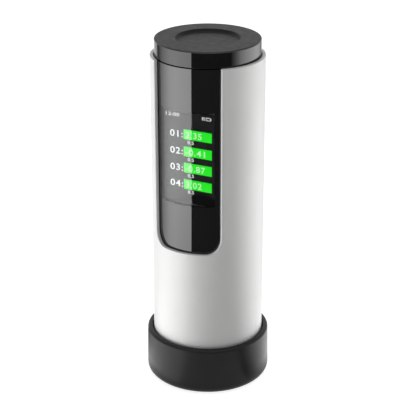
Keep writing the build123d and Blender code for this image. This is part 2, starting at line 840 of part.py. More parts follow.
with BuildPart() as battery_pad:
    with BuildSketch(Plane.XY.offset(battery_bottom + battery_round)):
        with Locations((0, battery_centre)):
            Circle(battery_radius + battery_pad_thickness)
            Circle(battery_radius + snug_gap, mode=Mode.SUBTRACT)
        with BuildLine():
            reach = 2 * shell_radius
            spread = reach * sin(radians(battery_pad_half_angle))
            Polyline((0, battery_centre), (-spread, reach), (spread, reach), close=True)
        make_face(mode=Mode.INTERSECT)
    extrude(amount=battery_length - 2 * battery_round)
battery_pad.part.label = "battery_pad"
export_step(battery_pad.part, "parts/battery_pad.step")

# Top: the switch board under the cap
with BuildPart() as switch_board:
    with BuildSketch(Plane.XY.offset(switch_board_base)):
        Circle(block_radius)
    extrude(amount=board_thickness)
switch_board.part.label = "switch_board"
export_step(switch_board.part, "parts/switch_board.step")

with BuildPart() as tact_switch:
    with BuildSketch(Plane.XY.offset(switch_board_top)):
        Rectangle(switch_side, switch_side)
    extrude(amount=switch_height)
    with BuildSketch(Plane.XY.offset(switch_top)):
        Circle(plunger_radius + slide_gap)
    extrude(amount=plunger_foot - switch_top - cap_travel - slip_gap, mode=Mode.SUBTRACT)
tact_switch.part.label = "tact_switch"
export_step(tact_switch.part, "parts/tact_switch.step")

with BuildPart() as switch_plunger:
    with BuildSketch(Plane.XY.offset(plunger_foot)):
        Circle(plunger_radius)
    extrude(amount=plunger_depth)
switch_plunger.part.label = "switch_plunger"
export_step(switch_plunger.part, "parts/switch_plunger.step")

with BuildPart() as cap_spring:
    spring_base = switch_board_top + spring_wire + snug_gap
    spring_height = cap_ceiling - spring_wire - snug_gap - spring_base
    with BuildLine() as coil:
        Helix(spring_height / spring_turns, spring_height, spring_radius, center=(0, 0, spring_base))
    with BuildSketch(Plane(origin=coil.line @ 0, z_dir=coil.line % 0)):
        Circle(spring_wire)
    sweep(path=coil.line, is_frenet=True)
cap_spring.part.label = "cap_spring"
export_step(cap_spring.part, "parts/cap_spring.step")

# Cap: the measuring button, with a finger dish on top and a hooked skirt that guides it
with BuildPart() as measure_cap:
    skirt_bore = skirt_radius - skirt_wall
    with BuildSketch(Plane.XZ):
        with BuildLine():
            Polyline(
                (0, dish_floor),
                (dish_radius - dish_slope, dish_floor),
                (dish_radius, overall_height),
                (cap_radius, overall_height),
                (cap_radius, cap_shoulder),
                (skirt_radius, cap_shoulder),
                (skirt_radius, skirt_bottom),
                (skirt_bore, skirt_bottom),
                (skirt_bore, cap_ceiling),
                (plunger_radius, cap_ceiling),
                (plunger_radius, plunger_head),
                (0, plunger_head),
                close=True,
            )
        make_face()
    revolve(axis=Axis.Z)
    top_ring = measure_cap.faces().filter_by(Plane.XY).sort_by(Axis.Z)[-1]
    fillet(top_ring.edges(), cap_edge_round)
    for angle in hook_angles:
        hook = band(
            skirt_bore,
            skirt_radius + hook_reach,
            skirt_bottom,
            hook_top,
            angle - hook_half_angle,
            2 * hook_half_angle,
        )
        add(hook)
measure_cap.part.label = "measure_cap"
export_step(measure_cap.part, "parts/measure_cap.step")
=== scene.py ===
import json
import math

import bmesh
import bpy
import numpy as np
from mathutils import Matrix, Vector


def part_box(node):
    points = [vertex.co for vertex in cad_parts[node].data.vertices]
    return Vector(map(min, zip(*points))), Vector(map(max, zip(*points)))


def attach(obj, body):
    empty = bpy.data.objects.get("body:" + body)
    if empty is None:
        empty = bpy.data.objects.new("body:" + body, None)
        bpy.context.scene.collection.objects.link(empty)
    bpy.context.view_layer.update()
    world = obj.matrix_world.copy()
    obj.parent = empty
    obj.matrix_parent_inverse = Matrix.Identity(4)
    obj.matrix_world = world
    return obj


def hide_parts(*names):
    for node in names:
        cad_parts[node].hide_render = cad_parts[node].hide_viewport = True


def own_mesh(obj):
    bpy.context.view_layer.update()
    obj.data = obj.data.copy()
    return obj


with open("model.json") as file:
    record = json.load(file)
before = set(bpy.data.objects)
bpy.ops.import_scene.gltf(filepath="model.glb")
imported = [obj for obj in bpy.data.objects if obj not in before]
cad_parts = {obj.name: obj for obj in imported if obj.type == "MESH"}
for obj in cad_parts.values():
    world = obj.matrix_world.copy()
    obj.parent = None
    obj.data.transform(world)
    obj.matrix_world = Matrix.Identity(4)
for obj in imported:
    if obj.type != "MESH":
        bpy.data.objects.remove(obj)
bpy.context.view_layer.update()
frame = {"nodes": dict(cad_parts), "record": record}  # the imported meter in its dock, in metres, with its display facing -Y
mm = 0.001
photoSize = 416  # pixels each way


# Places that come from the frame, in millimetres
def nodeBox(node):
    low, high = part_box(node)
    return np.array(low) / mm, np.array(high) / mm


sleeveLow, sleeveHigh = nodeBox("sleeve")
windowLow, windowHigh = nodeBox("display_window")
capLow, capHigh = nodeBox("measure_cap")
plungerHigh = nodeBox("switch_plunger")[1]
dockLow, dockHigh = nodeBox("dock_cup")
footHigh = nodeBox("foot_ring")[1]
lcdLow = nodeBox("lcd_panel")[0]
portLow, portHigh = nodeBox("usb_port")
print("frame loaded:", len(frame["nodes"]), "nodes")

# Camera
view = dict(
    azimuth=26.2,  # degrees round from the display's side, towards +X
    pitch=22.8,  # degrees that it looks down
    reach=345.1,  # mm from the meter's axis, along the table
    height=195.0,  # mm above the table
    focal=1342.0,  # pixels
    axisColumn=207.8,  # where the meter's axis stands in the picture
    sensor=36.0,
)


def addCamera(spec):
    data = bpy.data.cameras.new("camera")
    data.sensor_width = spec["sensor"]
    data.lens = spec["focal"] / photoSize * spec["sensor"]
    camera = bpy.data.objects.new("camera", data)
    turn = math.radians(spec["azimuth"])
    aside = math.atan2(photoSize / 2 - spec["axisColumn"], spec["focal"])
    camera.location = (
        spec["reach"] * math.sin(turn) * mm,
        -spec["reach"] * math.cos(turn) * mm,
        spec["height"] * mm,
    )
    camera.rotation_euler = (math.radians(90 - spec["pitch"]), 0, turn - aside)
    bpy.context.scene.collection.objects.link(camera)
    bpy.context.scene.camera = camera


addCamera(view)
print("camera placed")


# Mesh helpers
def gridFaces(rows, columns, closeRows, closeColumns):
    # each cell (i, j) joins (i, j), (i+1, j), (i+1, j+1), (i, j+1); a closed way wraps to its first line
    i = np.arange(rows if closeRows else rows - 1)[:, None]
    j = np.arange(columns if closeColumns else columns - 1)[None, :]
    i2 = (i + 1) % rows
    j2 = (j + 1) % columns
    corners = (i * columns + j, i2 * columns + j, i2 * columns + j2, i * columns + j2)
    return np.stack([np.broadcast_to(c, (i.shape[0], j.shape[1])) for c in corners], -1).reshape(-1, 4)


def addMesh(name, points, faces, smoothAngle=35.0):
    # points in millimetres; doubles are merged so that poles and seams close, and faces turned outwards
    data = bpy.data.meshes.new(name)
    data.from_pydata((np.asarray(points, float).reshape(-1, 3) * mm).tolist(), [], [list(f) for f in faces])
    shell = bmesh.new()
    shell.from_mesh(data)
    bmesh.ops.remove_doubles(shell, verts=shell.verts, dist=0.0005 * mm)
    bmesh.ops.dissolve_degenerate(shell, edges=shell.edges, dist=0.0002 * mm)
    bmesh.ops.recalc_face_normals(shell, faces=shell.faces)
    shell.to_mesh(data)
    shell.free()
    piece = bpy.data.objects.new(name, data)
    bpy.context.scene.collection.objects.link(piece)
    softenEdges(piece, smoothAngle)
    return piece


def softenEdges(piece, smoothAngle):
    piece.data.polygons.foreach_set("use_smooth", [True] * len(piece.data.polygons))
    piece.data.set_sharp_from_angle(angle=math.radians(smoothAngle))


def roundedPath(corners, steps=7, margin=0.12):
    # a closed line through the corners (x, y, radius): each corner is an arc that touches both its sides,
    # c + (a sin(S - t) + b sin t) / sin S for t from 0 to its sweep S, with a and b its ends seen from its
    # centre c. One more point on each side just past the arc lets the flat beside it shade flat
    spots = np.array([c[:2] for c in corners], float)
    path = []
    for index, (x, y, radius) in enumerate(corners):
        here = spots[index]
        before = spots[index - 1] - here
        after = spots[(index + 1) % len(corners)] - here
        lengths = np.linalg.norm(before), np.linalg.norm(after)
        if radius <= 0:
            path.append(here)
            continue
        before, after = before / lengths[0], after / lengths[1]
        half = math.acos(np.clip(before @ after, -1, 1)) / 2
        reach = radius / math.tan(half)
        middle = (before + after) / np.linalg.norm(before + after)
        centre = here + middle * radius / math.sin(half)
        first, last = here + before * reach - centre, here + after * reach - centre
        sweep = math.pi - 2 * half
        turn = np.linspace(0, sweep, steps + 1)[:, None]
        arc = centre + (np.sin(sweep - turn) * first + np.sin(turn) * last) / math.sin(sweep)
        if lengths[0] > reach + 2 * margin:
            path.append(here + before * (reach + margin))
        path.extend(arc)
        if lengths[1] > reach + 2 * margin:
            path.append(here + after * (reach + margin))
    return np.array(path)


def revolve(name, path, segments=192):
    # every point (r, z) of the closed line path goes round the Z axis: (r cos a, r sin a, z)
    angle = np.linspace(0, 2 * math.pi, segments, endpoint=False)[None, :]
    radius, height = path[:, 0][:, None], path[:, 1][:, None]
    points = np.stack([radius * np.cos(angle), radius * np.sin(angle), height + 0 * angle], -1)
    return addMesh(name, points, gridFaces(len(path), segments, True, True))


def onCylinder(radius, angle, height):
    # the point at that radius and height, angle radians round from -Y towards +X
    radius, angle, height = np.broadcast_arrays(radius, angle, height)
    return np.stack([radius * np.sin(angle), -radius * np.cos(angle), height], -1)


def subtract(piece, cutter, smoothAngle=35.0):
    # takes the cutter's volume out of the piece and deletes the cutter
    change = piece.modifiers.new("cut", "BOOLEAN")
    change.operation = "DIFFERENCE"
    change.solver = "EXACT"
    change.object = cutter
    bpy.context.view_layer.update()
    seen = piece.evaluated_get(bpy.context.evaluated_depsgraph_get())
    cut = bpy.data.meshes.new_from_object(seen)
    piece.modifiers.remove(change)
    old = piece.data
    piece.data = cut
    cut.name = piece.name
    bpy.data.meshes.remove(old)
    bpy.data.objects.remove(cutter)
    softenEdges(piece, smoothAngle)


def prism(name, outline, axis, low, high):
    # the closed outline, an array of (p, q), swept along one axis: y for a slot, z for a pocket
    count = len(outline)
    ends = []
    for level in (low, high):
        p, q = outline[:, 0], outline[:, 1]
        flat = np.full(count, float(level))
        ends.append(np.stack((p, flat, q) if axis == "y" else (p, q, flat), -1))
    sides = gridFaces(2, count, False, True).tolist()
    caps = [list(range(count)), list(range(count, 2 * count))]
    return addMesh(name, np.concatenate(ends), sides + caps)


def dress(piece, materials):
    piece.data.materials.clear()
    for material in materials:
        piece.data.materials.append(material)


def place(piece, body, slot, materials, replaced=None):
    dress(piece, materials)
    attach(piece, body)
    if replaced:
        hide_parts(replaced)


# Node helpers
def addNode(tree, kind, inputs=None, **settings):
    made = tree.nodes.new(kind)
    for key, value in settings.items():
        setattr(made, key, value)
    for key, value in (inputs or {}).items():
        if isinstance(value, bpy.types.NodeSocket):
            tree.links.new(value, made.inputs[key])
        else:
            made.inputs[key].default_value = value
    return made


def startMaterial(name):
    material = bpy.data.materials.new(name)
    material.use_nodes = True
    tree = material.node_tree
    shader = tree.nodes["Principled BSDF"]
    return material, tree, shader


def objectSpace(tree, stretch=(1.0, 1.0, 1.0)):
    coordinates = addNode(tree, "ShaderNodeTexCoord")
    mapping = addNode(tree, "ShaderNodeMapping", {"Vector": coordinates.outputs["Object"], "Scale": stretch})
    return mapping.outputs["Vector"]


def noise(tree, place, size, detail=2.0):
    # size is the width of one blotch in millimetres
    inputs = {"Vector": place, "Scale": 1 / (size * mm), "Detail": detail}
    return addNode(tree, "ShaderNodeTexNoise", inputs).outputs["Fac"]


def spread(tree, value, low, high, fromLow=0.3, fromHigh=0.7):
    inputs = {"Value": value, "From Min": fromLow, "From Max": fromHigh, "To Min": low, "To Max": high}
    return addNode(tree, "ShaderNodeMapRange", inputs).outputs["Result"]


def blendColor(tree, factor, first, second):
    mix = addNode(tree, "ShaderNodeMix", data_type="RGBA")
    tree.links.new(factor, mix.inputs[0])
    for socket, color in ((mix.inputs[6], first), (mix.inputs[7], second)):
        if isinstance(color, bpy.types.NodeSocket):
            tree.links.new(color, socket)
        else:
            socket.default_value = (*color, 1.0)
    return mix.outputs[2]


def doMath(tree, operation, *values):
    return addNode(tree, "ShaderNodeMath", dict(enumerate(values)), operation=operation).outputs[0]


def shade(color, factor):
    return tuple(min(1.0, c * factor) for c in color)


def bump(tree, shader, height, depth, strength=1.0):
    # depth in millimetres
    inputs = {"Height": height, "Distance": depth * mm, "Strength": strength}
    relief = addNode(tree, "ShaderNodeBump", inputs)
    tree.links.new(relief.outputs["Normal"], shader.inputs["Normal"])


# Moulded, painted and soft materials: color drifts over patches, and a fine grain lifts the surface. Patch,
# grain and relief are in millimetres. A material that names no coat has none; shine is 0.5 where none is named
plastics = {
    "sleeveWhite": dict(color=(0.86, 0.86, 0.85), drift=0.015, patch=9.0, rough=(0.36, 0.42), grain=0.06,
                        relief=0.0006),
    "capGloss": dict(color=(0.006, 0.006, 0.006), drift=0.2, patch=6.0, rough=(0.035, 0.06), grain=0.08,
                     relief=0.0001),
    "capSatin": dict(color=(0.008, 0.008, 0.008), drift=0.15, patch=5.0, rough=(0.42, 0.5), grain=0.05,
                     relief=0.0015, shine=0.16),
    "dockSatin": dict(color=(0.009, 0.009, 0.009), drift=0.15, patch=7.0, rough=(0.3, 0.36), grain=0.06,
                      relief=0.001, shine=0.19),
    "shellBlack": dict(color=(0.02, 0.02, 0.021), drift=0.2, patch=5.0, rough=(0.45, 0.6), grain=0.12,
                       relief=0.004),
    "rubberBlack": dict(color=(0.016, 0.016, 0.016), drift=0.25, patch=2.5, rough=(0.75, 0.9), grain=0.15,
                        relief=0.008),
    "foamGrey": dict(color=(0.12, 0.12, 0.13), drift=0.4, patch=0.6, rough=(0.85, 0.95), grain=0.35,
                     relief=0.06),
    "tileWhite": dict(color=(0.87, 0.87, 0.85), drift=0.01, patch=3.0, rough=(0.06, 0.1), grain=0.8,
                      relief=0.0006, coat=0.6),
    "sphereWhite": dict(color=(0.9, 0.9, 0.88), drift=0.03, patch=1.2, rough=(0.85, 0.95), grain=0.08,
                        relief=0.006),
    "chipBlack": dict(color=(0.022, 0.022, 0.024), drift=0.2, patch=0.8, rough=(0.5, 0.62), grain=0.07,
                      relief=0.003),
    "ledCream": dict(color=(0.84, 0.76, 0.45), drift=0.12, patch=0.5, rough=(0.25, 0.4), grain=0.1,
                     relief=0.002, coat=0.3),
    "lightGuide": dict(color=(0.8, 0.82, 0.83), drift=0.04, patch=3.0, rough=(0.2, 0.3), grain=0.12,
                       relief=0.002, coat=0.2),
    "connectorBeige": dict(color=(0.7, 0.64, 0.5), drift=0.08, patch=1.5, rough=(0.4, 0.55), grain=0.1,
                           relief=0.003),
    "windowGloss": dict(color=(0.006, 0.006, 0.006), drift=0.1, patch=8.0, rough=(0.0, 0.015), grain=12.0,
                        relief=0.0004, shine=0.8),
    "switchGrey": dict(color=(0.2, 0.2, 0.21), drift=0.12, patch=1.5, rough=(0.4, 0.5), grain=0.09,
                       relief=0.003),
    "batteryWrap": dict(color=(0.03, 0.13, 0.35), drift=0.2, patch=4.0, rough=(0.18, 0.3), grain=1.4,
                        relief=0.012, coat=0.4),
}


def moulded(name, spec):
    material, tree, shader = startMaterial(name)
    where = objectSpace(tree)
    patches = spread(tree, noise(tree, where, spec["patch"], 3.0), 0, 1)
    dark, pale = shade(spec["color"], 1 - spec["drift"]), shade(spec["color"], 1 + spec["drift"])
    tree.links.new(blendColor(tree, patches, dark, pale), shader.inputs["Base Color"])
    polish = spread(tree, noise(tree, where, spec["patch"] / 3), *spec["rough"])
    tree.links.new(polish, shader.inputs["Roughness"])
    bump(tree, shader, noise(tree, where, spec["grain"]), spec["relief"])
    shader.inputs["Coat Weight"].default_value = spec.get("coat", 0.0)
    shader.inputs["Specular IOR Level"].default_value = spec.get("shine", 0.5)
    return material


# Metals: fine scratches that run along one direction, over a slow change of polish
metals = {
    "nickel": dict(color=(0.72, 0.71, 0.69), rough=(0.12, 0.22), scratch=0.3, relief=0.0008),
    "screwSteel": dict(color=(0.5, 0.5, 0.51), rough=(0.25, 0.4), stretch=(1, 1, 6), scratch=0.2,
                       relief=0.002),
    "canSteel": dict(color=(0.62, 0.62, 0.62), rough=(0.3, 0.42), stretch=(8, 1, 1), scratch=0.25,
                     relief=0.002),
    "socketSteel": dict(color=(0.55, 0.55, 0.56), rough=(0.2, 0.32), stretch=(1, 6, 1), scratch=0.2,
                        relief=0.002),
    "springSteel": dict(color=(0.6, 0.6, 0.61), rough=(0.18, 0.28), scratch=0.15, relief=0.001),
    "anodised": dict(color=(0.045, 0.045, 0.05), rough=(0.35, 0.48), stretch=(1, 1, 5), scratch=0.15,
                     relief=0.0015),
}


def metal(name, spec):
    material, tree, shader = startMaterial(name)
    scratches = noise(tree, objectSpace(tree, spec.get("stretch", (1, 1, 1))), spec["scratch"], 4.0)
    cloud = spread(tree, noise(tree, objectSpace(tree), 2.0), 0, 1)
    color = blendColor(tree, cloud, shade(spec["color"], 0.9), shade(spec["color"], 1.08))
    tree.links.new(color, shader.inputs["Base Color"])
    tree.links.new(spread(tree, scratches, *spec["rough"]), shader.inputs["Roughness"])
    bump(tree, shader, scratches, spec["relief"])
    shader.inputs["Metallic"].default_value = 1.0
    return material


# Circuit boards: green mask over tracks, which are the joints of a brick pattern, and round plated holes at
# the middles of a cell pattern. Pitches and rise are in millimetres
board = dict(
    mask=(0.012, 0.12, 0.045),
    track=(0.03, 0.2, 0.08),
    plating=(0.62, 0.5, 0.28),
    trackPitch=1.1,
    trackWidth=0.06,  # share of the pitch
    trackRise=0.02,
    holePitch=2.4,
    holeEdge=(0.1, 0.13),  # share of the pitch, from plated to bare
    rough=0.32,
)


def solderMask(name, spec):
    material, tree, shader = startMaterial(name)
    where = objectSpace(tree)
    tracks = addNode(tree, "ShaderNodeTexBrick", {
        "Vector": where, "Scale": 1 / (spec["trackPitch"] * mm), "Mortar Size": spec["trackWidth"],
        "Color1": (0, 0, 0, 1), "Color2": (0, 0, 0, 1), "Mortar": (1, 1, 1, 1), "Brick Width": 2.6,
        "Row Height": 0.5,
    })
    cells = addNode(tree, "ShaderNodeTexVoronoi", {
        "Vector": where, "Scale": 1 / (spec["holePitch"] * mm), "Randomness": 0.55,
    })
    plated = spread(tree, cells.outputs["Distance"], 1, 0, *spec["holeEdge"])
    masked = blendColor(tree, tracks.outputs["Color"], spec["mask"], spec["track"])
    tree.links.new(blendColor(tree, plated, masked, spec["plating"]), shader.inputs["Base Color"])
    tree.links.new(plated, shader.inputs["Metallic"])
    bump(tree, shader, tracks.outputs["Color"], spec["trackRise"])
    shader.inputs["Roughness"].default_value = spec["rough"]
    return material


# Amber film with copper lines along the flex cable
flexFilm = dict(film=(0.42, 0.15, 0.02), copper=(0.75, 0.36, 0.13), pitch=0.8, rise=0.01, rough=0.28)


def flexible(name, spec):
    material, tree, shader = startMaterial(name)
    scale = 0.32 / (spec["pitch"] * mm)  # the wave's bands lie about 0.32 / scale apart
    lines = addNode(tree, "ShaderNodeTexWave", {
        "Vector": objectSpace(tree), "Scale": scale, "Distortion": 0.0, "Detail": 0.0,
    }, bands_direction="X")
    tone = spread(tree, lines.outputs["Fac"], 0, 1, 0.45, 0.6)
    tree.links.new(blendColor(tree, tone, spec["film"], spec["copper"]), shader.inputs["Base Color"])
    bump(tree, shader, tone, spec["rise"])
    shader.inputs["Roughness"].default_value = spec["rough"]
    return material


# Glasses
glasses = {
    "windowTint": dict(color=(0.4, 0.4, 0.41), rough=0.0, ior=1.5),
    "opticGlass": dict(color=(0.95, 0.98, 0.98), rough=0.0, ior=1.52),
}


def glass(name, spec):
    material, tree, shader = startMaterial(name)
    cloud = spread(tree, noise(tree, objectSpace(tree), 14.0, 1.0), 0, 1)
    color = blendColor(tree, cloud, shade(spec["color"], 0.985), spec["color"])
    tree.links.new(color, shader.inputs["Base Color"])
    shader.inputs["Roughness"].default_value = spec["rough"]
    shader.inputs["IOR"].default_value = spec["ior"]
    shader.inputs["Transmission Weight"].default_value = 1.0
    return material


# The display: dark panel and lit parts, both ruled by the panel's dot pitch
dots = dict(pitch=0.11, gap=0.25)  # mm, and the share of the pitch that is dark
panel = dict(gapColor=(0.003, 0.003, 0.0035), color=(0.0045, 0.0045, 0.005), rough=0.12, shine=0.2)
lit = {
    "litGreen": dict(color=(0.0, 0.85, 0.0), strength=2.6),
    "litWhite": dict(color=(0.9, 0.95, 0.92), strength=2.4),
    "litPale": dict(color=(0.65, 0.95, 0.6), strength=2.4),
}


def dotRows(tree):
    # 0 between two rows of dots and 1 on them, from the height above the table
    where = addNode(tree, "ShaderNodeSeparateXYZ", {"Vector": objectSpace(tree)}).outputs["Z"]
    rows = doMath(tree, "MULTIPLY", where, 1 / (dots["pitch"] * mm))
    return spread(tree, doMath(tree, "FRACT", rows), 0, 1, dots["gap"] * 0.6, dots["gap"])


def litPart(name, spec):
    material, tree, shader = startMaterial(name)
    color = blendColor(tree, dotRows(tree), shade(spec["color"], 0.8), spec["color"])
    tree.links.new(color, shader.inputs["Emission Color"])
    shader.inputs["Emission Strength"].default_value = spec["strength"]
    shader.inputs["Base Color"].default_value = (0.01, 0.01, 0.01, 1)
    shader.inputs["Roughness"].default_value = 0.3
    return material


def darkPanel(name, spec):
    material, tree, shader = startMaterial(name)
    color = blendColor(tree, dotRows(tree), spec["gapColor"], spec["color"])
    tree.links.new(color, shader.inputs["Base Color"])
    shader.inputs["Roughness"].default_value = spec["rough"]
    shader.inputs["Specular IOR Level"].default_value = spec["shine"]
    return material


looks = {}
for makeLook, specs in ((moulded, plastics), (metal, metals), (glass, glasses), (litPart, lit)):
    for lookName, lookSpec in specs.items():
        looks[lookName] = makeLook(lookName, lookSpec)
looks["solderMask"] = solderMask("solderMask", board)
looks["flexFilm"] = flexible("flexFilm", flexFilm)
looks["darkPanel"] = darkPanel("darkPanel", panel)
print("materials made:", len(looks))

# Which look each material slot of the record has
slotLooks = {
    "sleeve_white": "sleeveWhite", "cap_black": "capSatin", "dock_black": "dockSatin",
    "window_tint": "windowTint", "shell_black": "shellBlack", "rubber_black": "rubberBlack",
    "foam_grey": "foamGrey", "tile_white": "tileWhite", "magnet_nickel": "nickel",
    "screw_steel": "screwSteel", "aperture_black": "anodised", "optic_glass": "opticGlass",
    "sphere_white": "sphereWhite", "board_green": "solderMask", "chip_black": "chipBlack",
    "can_steel": "canSteel", "led_cream": "ledCream", "lcd_glass": "darkPanel",
    "light_guide": "lightGuide", "flex_amber": "flexFilm", "connector_beige": "connectorBeige",
    "battery_wrap": "batteryWrap", "socket_steel": "socketSteel", "spring_steel": "springSteel",
    "switch_grey": "switchGrey",
}
nodeSlots = {part["node"]: part["material_slot"] for part in frame["record"]["subparts"]}
motion = frame["record"]["behaviour"]
nodeBodies = {node: body for body, members in motion["bodies"].items() for node in members}
for nodeName, nodePiece in frame["nodes"].items():
    dress(nodePiece, [looks[slotLooks[nodeSlots[nodeName]]]])

# Sleeve: white tube with a U-shaped notch for the window
sleeveShape = dict(
    wall=1.0,
    notchHalfAngle=39.7,  # degrees each side of the display's middle
    notchBottom=42.4,
    notchCorner=4.4,
    upperCorner=0.35,
    edge=0.2,  # radius of every edge
    flat=0.1,  # how far each face stays flat past its edge's round
    backAngle=120.0,  # past this angle the grid's lines stand upright
    # degrees at which the grid's lines meet the lower edge: from the notch's upper corner, its side and its
    # lower corner
    cornerFoot=(96.0, 94.5),
    sideFoot=(94.0, 52.0),
    bendFoot=(51.0, 38.0),
    slotGap=0.1,
    slotRound=0.995,  # radius of the slot's ends, as a share of its half height
)


def notchedRim(spec, radius, top):
    # the sleeve's upper edge, laid flat as (s, z) with s = radius * angle: along the top from the back to the
    # notch, down its side, round its corner and across, then the same mirrored. With each point goes the
    # direction out of the wall, and the angle at which its line of the grid meets the lower edge
    half = math.radians(spec["notchHalfAngle"]) * radius
    small, large = spec["upperCorner"], spec["notchCorner"]
    back = math.pi * radius
    turn = np.linspace(0, math.pi / 2, 9)[1:-1]
    wide = np.linspace(0, math.pi / 2, 22)
    rim = np.linspace(back, half + small, 120)
    side = np.linspace(top - small, spec["notchBottom"] + large, 42)
    base = np.linspace(half - large, 0, 22)[1:]
    knots = [math.degrees((half + small) / radius), spec["backAngle"], 180.0]
    feet = np.interp(np.degrees(rim / radius), knots, [spec["cornerFoot"][0], spec["backAngle"], 180])
    cornerFeet = np.linspace(*spec["cornerFoot"], len(turn))
    sideFeet = np.linspace(*spec["sideFoot"], len(side))
    bendFeet = np.linspace(*spec["bendFoot"], len(wide) - 1)
    baseFeet = np.linspace(spec["bendFoot"][1], 0, len(base) + 1)[1:]
    sine, cosine = np.sin(wide[1:]), np.cos(wide[1:])
    parts = [
        (rim, np.full(rim.shape, top), 0 * rim, 0 * rim + 1, feet),
        (half + small - small * np.sin(turn), top - small + small * np.cos(turn), -np.sin(turn), np.cos(turn),
         cornerFeet),
        (np.full(side.shape, half), side, 0 * side - 1, 0 * side, sideFeet),
        (half - large + large * cosine, spec["notchBottom"] + large - large * sine, -cosine, sine, bendFeet),
        (base, np.full(base.shape, spec["notchBottom"]), 0 * base, 0 * base + 1, baseFeet),
    ]
    right = np.concatenate([np.stack(part, -1) for part in parts])
    left = right[:-1][::-1] * np.array([-1, 1, -1, 1, -1])
    return np.concatenate([right, left[:-1]])


def addSleeve(spec):
    # rows of the grid run round the wall's section: down the outer face, round the lower edge, up the inner
    # face and round the upper edge. A row is (t, d, r): t from the upper edge to the lower, d in from the
    # edge along the face, and r from the axis. Its point is (1 - t) (s, z)upper + t (s, z)lower, laid round
    # the cylinder of radius r at the angle s / R
    radius, bottom, top = sleeveHigh[0], sleeveLow[2], sleeveHigh[2]
    bore, edge = radius - spec["wall"], spec["edge"]
    rim = notchedRim(spec, radius, top)
    turn = np.linspace(0, math.pi / 2, 6)
    outerArc = [(edge * (1 - math.sin(a)), radius - edge * (1 - math.cos(a))) for a in turn]
    innerArc = [(d, radius + bore - r) for d, r in outerArc][::-1]
    rows = [(t, edge + spec["flat"], radius) for t in np.linspace(0, 1, 60)]
    rows += [(1.0, d, r) for d, r in outerArc + innerArc]
    rows += [(t, edge + spec["flat"], bore) for t in np.linspace(1, 0, 24)]
    rows += [(0.0, d, r) for d, r in (outerArc + innerArc)[::-1]]
    t, d, r = (np.array(column)[:, None] for column in zip(*rows))
    s, z, outS, outZ, low = rim.T
    upperS, upperZ = s - d * outS, z - d * outZ
    lowerS, lowerZ = np.radians(low) * radius + 0 * d, bottom + d + 0 * low
    across = (1 - t) * upperS + t * lowerS
    height = (1 - t) * upperZ + t * lowerZ
    points = onCylinder(r, across / radius, height)
    sleeve = addMesh("whiteSleeve", points, gridFaces(len(rows), len(rim), True, True))
    middle = (portLow[2] + portHigh[2]) / 2
    halfWidth = portHigh[0] + spec["slotGap"]
    halfHeight = (portHigh[2] - portLow[2]) / 2 + spec["slotGap"]
    signs = ((-1, -1), (1, -1), (1, 1), (-1, 1))
    corners = [(x * halfWidth, middle + y * halfHeight, halfHeight * spec["slotRound"]) for x, y in signs]
    outline = roundedPath(corners, steps=10, margin=halfWidth)  # a margin this long adds no points
    slot = prism("slotCutter", outline, "y", bore - 5, radius + 2)
    subtract(sleeve, slot)
    place(sleeve, "meter", "sleeve_white", [looks["sleeveWhite"]], "sleeve")


addSleeve(sleeveShape)
print("sleeve made")

# Window: curved panel that fills the notch from behind, black but for the tinted field over the display
windowShape = dict(
    wall=1.2,
    halfAngle=51.0,
    corner=3.0,
    columns=120,
    rows=180,
    clearAngle=34.0,  # the clear field over the display: degrees each side of the middle, and two heights
    clearLow=56.2,
    clearHigh=82.4,
)


def addWindow(spec):
    # a grid on the outer face and one on the inner, u across and v up; a row's half width w shrinks round the
    # lower corners as w = W - r (1 - sin a), where its height is r (1 - cos a) above the bottom
    radius = abs(windowLow[0]) / math.sin(math.radians(spec["halfAngle"]))
    inner = radius - spec["wall"]
    turn = np.linspace(0, math.pi / 2, 14)
    wide = math.radians(spec["halfAngle"]) * radius
    height = np.concatenate([
        windowLow[2] + spec["corner"] * (1 - np.cos(turn)),
        np.linspace(windowLow[2] + spec["corner"], windowHigh[2], spec["rows"])[1:],
    ])[:, None]
    cornerWidth = wide - spec["corner"] * (1 - np.sin(turn))
    width = np.concatenate([cornerWidth, np.full(spec["rows"] - 1, wide)])[:, None]
    across = np.linspace(-1, 1, spec["columns"])[None, :] * width / radius
    outer, back = onCylinder(radius, across, height), onCylinder(inner, across, height)
    rows, columns = height.shape[0], spec["columns"]
    index = np.arange(rows * columns).reshape(rows, columns)
    border = np.concatenate([index[0, :-1], index[:-1, -1], index[-1, :0:-1], index[:0:-1, 0]])
    following = np.roll(border, -1)
    faces = gridFaces(rows, columns, False, False)
    rim = np.stack([border, following, following + rows * columns, border + rows * columns], -1)
    every = np.concatenate([faces, faces[:, ::-1] + rows * columns, rim])
    window = addMesh("displayWindow", np.concatenate([outer.reshape(-1, 3), back.reshape(-1, 3)]), every)
    place(window, "meter", "window_tint", [looks["windowTint"], looks["windowGloss"]], "display_window")
    for face in window.data.polygons:
        middle = face.center / mm
        angle = math.degrees(math.atan2(middle.x, -middle.y))
        clear = abs(angle) < spec["clearAngle"] and spec["clearLow"] < middle.z < spec["clearHigh"]
        face.material_index = int(not clear)


addWindow(windowShape)
print("window made")

# Cap: the measuring button, polished round its side and satin on top, with a dish for the finger
capShape = dict(
    seam=0.3,  # gap over the window
    dishRadius=8.75,
    dishDepth=0.8,
    dishSlope=0.5,
    dishRound=0.35,
    lipRound=0.18,
    edge=0.3,
    smallEdge=0.1,
    bossEdge=0.2,
    skirtRadius=13.0,
    skirtWall=1.0,
    roof=2.4,
    hookReach=0.7,
    hookSink=0.4,  # how deep a hook stands in the skirt
    hookHeight=0.8,
    hookAngles=(-20, 90, 200),  # degrees from +X
    hookHalfAngle=8.0,
    satinInset=0.12,  # the satin face ends this far inside the polished edge
)


